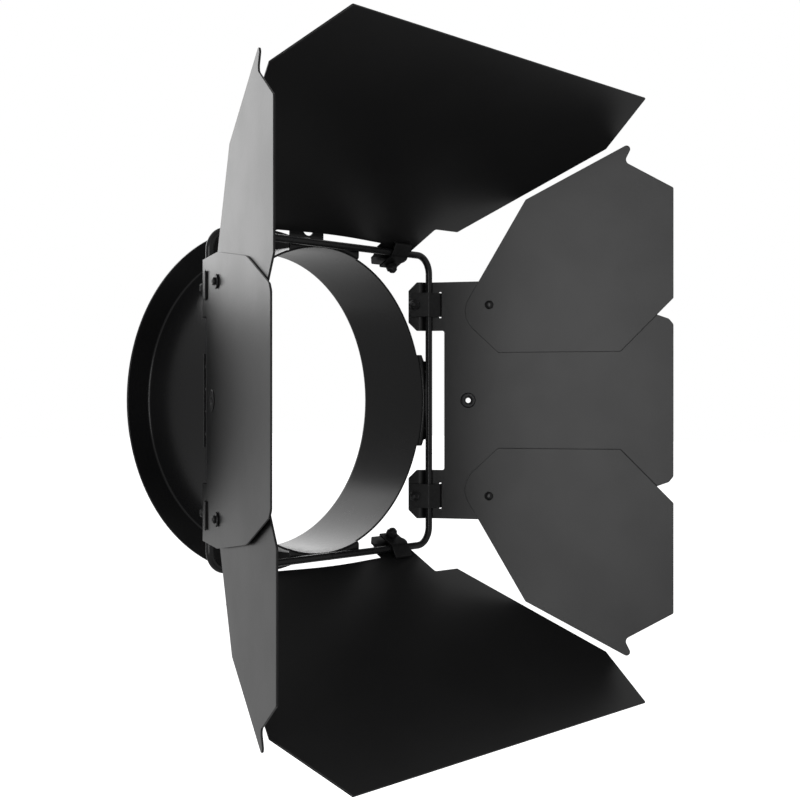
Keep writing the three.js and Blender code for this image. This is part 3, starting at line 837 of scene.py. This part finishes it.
def nut_mesh():
    """A lock nut: a hexagon with its corners turned off, and a round collar rolled in at the top."""
    low = STRAP_FACE + GAP
    high = low + NUT_HEIGHT
    top = high + NUT_COLLAR_HEIGHT
    hexed = hexagon(NUT_FLATS)
    turned_off = NUT_FLATS / 2 * 1.02

    def trimmed(inset):
        return lambda angle: min(hexed(angle), turned_off + inset)

    bore = SCREW_RADIUS + 0.12
    collar = []
    for k in range(7):
        angle = k / 6 * math.pi / 2
        inward = NUT_COLLAR_RADIUS - NUT_COLLAR_ROLL * (1 - math.cos(angle))
        collar.append((max(inward, bore + 0.05), top - NUT_COLLAR_ROLL * (1 - math.sin(angle))))
    return turned([
        (bore + 0.35, low), (turned_off - 0.25, low), (trimmed(0.12), low + 0.1),
        (trimmed(0.35), low + 0.25), (hexed, low + NUT_CHAMFER), (hexed, high - NUT_CHAMFER),
        (trimmed(0.35), high - 0.25),
        (trimmed(0.12), high - 0.1), (turned_off - 0.25, high), (NUT_COLLAR_RADIUS, high + 0.1),
        *collar, (bore, top - 0.1), (bore, low + 0.35),
    ], 48, closed=True)


# ---------------------------------------------------------------- assembly

HINGES = {joint["name"]: Vector(joint["pos_m"]) for joint in frame["joints"]}


def leaf_place(side, turn, angle):
    """Where a leaf's own frame stands: at its hinge, turned to its side of the frame and opened."""
    return (Matrix.Translation(HINGES[f"leaf_{side}_hinge"]) @ Matrix.Rotation(turn, 4, "Y")
            @ Matrix.Rotation(-math.radians(angle), 4, "Z") @ Matrix.Rotation(math.pi / 2, 4, "X"))


def moved(place, x, y, z=0):
    """The place that lies x, y and z millimetres from another, along that one's own axes."""
    return place @ Matrix.Translation((x * MM, y * MM, z * MM))


def build_clamp(name, place, body, y):
    """The strap, screw and nut that clamp one ear of a leaf to its rod."""
    add_piece(f"clip_{name}", strap_mesh(), HARDWARE, moved(place, 0, y), body,
              [f"strap_{name}"])
    add_piece(f"screw_{name}", screw_mesh(), HARDWARE, moved(place, SCREW_X, y), body,
              [f"clamp_screw_{name}"])
    add_piece(f"nut_{name}", nut_mesh(), HARDWARE, moved(place, SCREW_X, y), body,
              [f"clamp_nut_{name}"])


def build_wing(name, place, leaf_body, sign, layer):
    """One wing with its rivet and washer; in layer 1 it stands on a spacer as well."""
    back = wing_back(layer)
    pivot = (WING_PIVOT[0], sign * WING_PIVOT[1])
    add_piece(f"wing_sheet_{name}", wing_mesh(sign), LEAF_COAT, moved(place, 0, 0, back), f"wing_{name}",
              [f"wing_{name}"])
    add_piece(f"rivet_{name}", rivet_mesh(layer), RIVET_PAINT, moved(place, *pivot), leaf_body,
              [f"wing_rivet_{name}"])
    add_piece(f"washer_{name}", washer_mesh(WASHER_THICKNESS), HARDWARE,
              moved(place, *pivot, LEAF_OUTER_FACE - GAP - WASHER_THICKNESS), leaf_body,
              [f"wing_washer_{name}"])
    if layer > 0:
        spacer = washer_mesh(back - LEAF_INNER_FACE - 2 * GAP)
        add_piece(f"spacer_{name}", spacer, HARDWARE, moved(place, *pivot, LEAF_INNER_FACE + GAP),
                  leaf_body, [f"wing_spacer_{name}"])


def build_leaf(side, turn, ends, winged):
    """A leaf with everything on it; of its two ends, the first lies towards +y of its own frame."""
    place = leaf_place(side, turn, SIDE_ANGLE if winged else TOP_ANGLE)
    body = f"leaf_{side}"
    if winged:
        holes = [circle(EYELET_X, 0, EYELET_BARREL_RADIUS + GAP)]
        for sign in (1, -1):
            holes.append(circle(WING_PIVOT[0], sign * WING_PIVOT[1], PIVOT_RADIUS + GAP, 28))
        mesh = leaf_mesh(side_leaf_outline(), holes)
    else:
        mesh = leaf_mesh(top_leaf_outline(), [])
    add_piece(f"sheet_{side}", mesh, LEAF_COAT, place, body, [body])
    for end, sign in zip(ends, (1, -1)):
        build_clamp(f"{side}_{end}", place, body, sign * STRAP_CENTRE)
        if winged:
            build_wing(f"{side}_{end}", place, body, sign, 0 if end == "upper" else 1)
    if winged:
        add_piece(f"grommet_{side}", eyelet_mesh(), HARDWARE, moved(place, EYELET_X, 0), body,
                  [f"eyelet_{side}"])


build_collar()
build_rod_frame()
build_welds()
build_leaf("right", 0, ("upper", "lower"), True)
build_leaf("top", -math.pi / 2, ("left", "right"), False)
build_leaf("left", math.pi, ("lower", "upper"), True)
build_leaf("bottom", math.pi / 2, ("right", "left"), False)

# ---------------------------------------------------------------- floor, light and camera

FLOOR_Z = -0.55
FLOOR_SIZE = 30


def build_floor():
    bpy.ops.mesh.primitive_plane_add(size=FLOOR_SIZE, location=(0, 0, FLOOR_Z))
    floor = bpy.context.object
    floor.name = "studio_floor"
    n = Nodes("floor_paint")
    n.link(n.blend(n.noise(3, 3), (0.9, 0.9, 0.9), (0.93, 0.93, 0.93)), n.shader.inputs["Base Color"])
    n.shader.inputs["Roughness"].default_value = 0.8
    n.shader.inputs["Emission Color"].default_value = (1, 1, 1, 1)
    n.shader.inputs["Emission Strength"].default_value = 1.0
    floor.data.materials.append(n.material)
    floor.visible_diffuse = False
    floor.visible_glossy = False


def area_light(name, at, towards, wide, tall, power):
    light = bpy.data.lights.new(name, "AREA")
    light.shape = "RECTANGLE"
    light.size = wide
    light.size_y = tall
    light.energy = power
    lamp = bpy.data.objects.new(name, light)
    lamp.location = at
    lamp.rotation_euler = (Vector(towards) - Vector(at)).to_track_quat("-Z", "Y").to_euler()
    lamp.visible_camera = False
    bpy.context.scene.collection.objects.link(lamp)


def build_world(seen, around):
    """White where the camera looks past the object, and a dimmer room for everything else."""
    world = bpy.data.worlds.new("studio")
    bpy.context.scene.world = world
    world.use_nodes = True
    tree = world.node_tree
    background = tree.nodes["Background"]
    background.inputs["Color"].default_value = (1, 1, 1, 1)
    rays = tree.nodes.new("ShaderNodeLightPath")
    strength = tree.nodes.new("ShaderNodeMapRange")
    strength.inputs["To Min"].default_value = around
    strength.inputs["To Max"].default_value = seen
    tree.links.new(rays.outputs["Is Camera Ray"], strength.inputs["Value"])
    tree.links.new(strength.outputs["Result"], background.inputs["Strength"])


# The photo's view, in metres: level, from the front left, with the camera shifted off the axis.
VIEW_ANGLE = math.radians(45.81)
CAMERA_DISTANCE = 0.8782
FOCAL_LENGTH = 58.02
SHIFT_X = 0.0891
SHIFT_Y = 0.00045


def build_camera():
    data = bpy.data.cameras.new("photo_view")
    data.sensor_width = 36
    data.lens = FOCAL_LENGTH
    data.shift_x = SHIFT_X
    data.shift_y = SHIFT_Y
    data.clip_end = 100
    camera = bpy.data.objects.new("photo_view", data)
    back = Vector((-math.sin(VIEW_ANGLE), -math.cos(VIEW_ANGLE), 0))
    camera.location = Vector((0, FRAME_Y * MM, 0)) + back * CAMERA_DISTANCE
    camera.rotation_euler = (math.pi / 2, 0, -VIEW_ANGLE)
    bpy.context.scene.collection.objects.link(camera)
    bpy.context.scene.camera = camera


build_floor()
build_world(seen=1.0, around=0.27)
area_light("key_left", at=(-2.3, -1.15, 0.1), towards=(0, -0.1, 0), wide=1.2, tall=1.8, power=15.7)
area_light("back_upper", at=(0.5, 0.95, 0.68), towards=(0.5, 0, 0.68), wide=1.5, tall=1.1, power=8.8)
area_light("back_lower", at=(0.7, 1.2, -0.6), towards=(0.7, 0, -0.6), wide=1.8, tall=1.4, power=2.6)
build_camera()
bpy.context.scene.view_settings.view_transform = "Standard"
